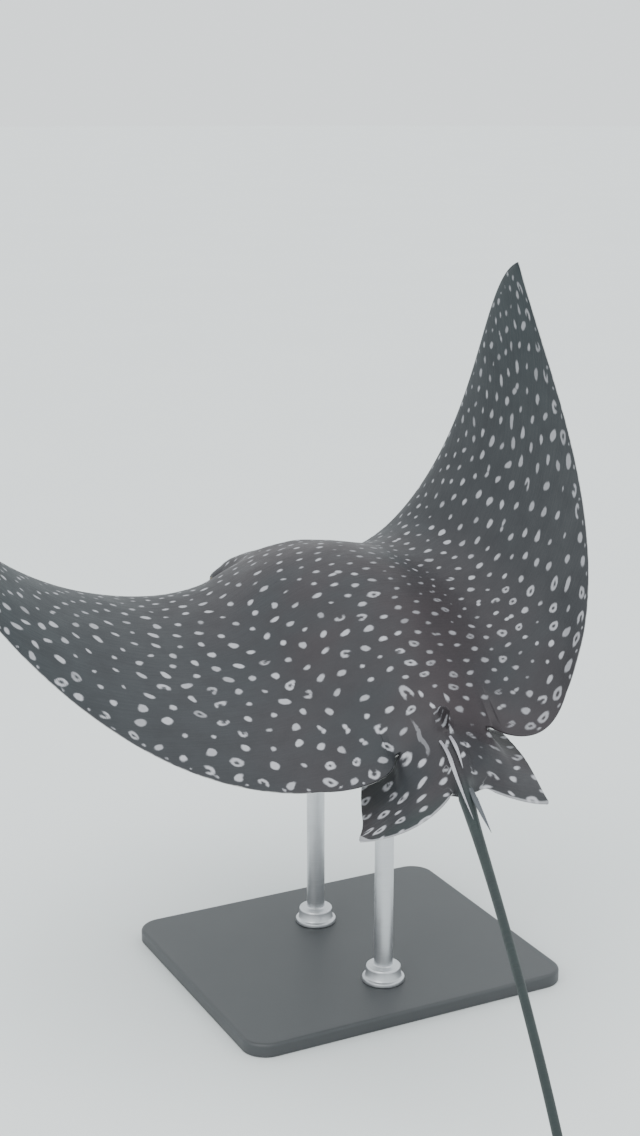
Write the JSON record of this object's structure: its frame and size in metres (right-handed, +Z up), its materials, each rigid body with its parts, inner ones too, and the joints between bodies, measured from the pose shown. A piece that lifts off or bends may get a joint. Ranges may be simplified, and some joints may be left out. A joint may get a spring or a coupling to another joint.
{
  "type": "spotted eagle ray model",
  "caption": "Life-size still model of a spotted eagle ray swimming with its wings raised, on a flat base with short rods.",
  "frame": {"origin": "centre of the underside of the stand's base, on the floor", "axes": "+Z up, +Y the way the ray's head points, +X the ray's right"},
  "size_m": [1.6324, 3.6179, 1.1315],
  "materials": {
    "skin": "charcoal back with pale spots and rings, white underside, smooth wet-looking skin",
    "eye": "dark polished eye",
    "sting": "pale bony spine with fine edges",
    "stand_base": "dark satin paint",
    "stand_rod": "brushed steel rod"
  },
  "bodies": {
    "root": {"snout": "skin", "head": "skin", "trunk": "skin", "wing_left_inner": "skin", "wing_left_outer": "skin", "wing_right_inner": "skin", "wing_right_outer": "skin", "tail_1": "skin", "tail_2": "skin", "tail_3": "skin", "tail_4": "skin", "pelvic_left": "skin", "pelvic_right": "skin", "back_fin": "skin", "eye_left": "eye", "eye_right": "eye", "sting_1": "sting", "sting_2": "sting", "sting_3": "sting", "stand_base": "stand_base", "stand_rod_front": "stand_rod", "stand_rod_rear": "stand_rod"}
  },
  "joints": []
}
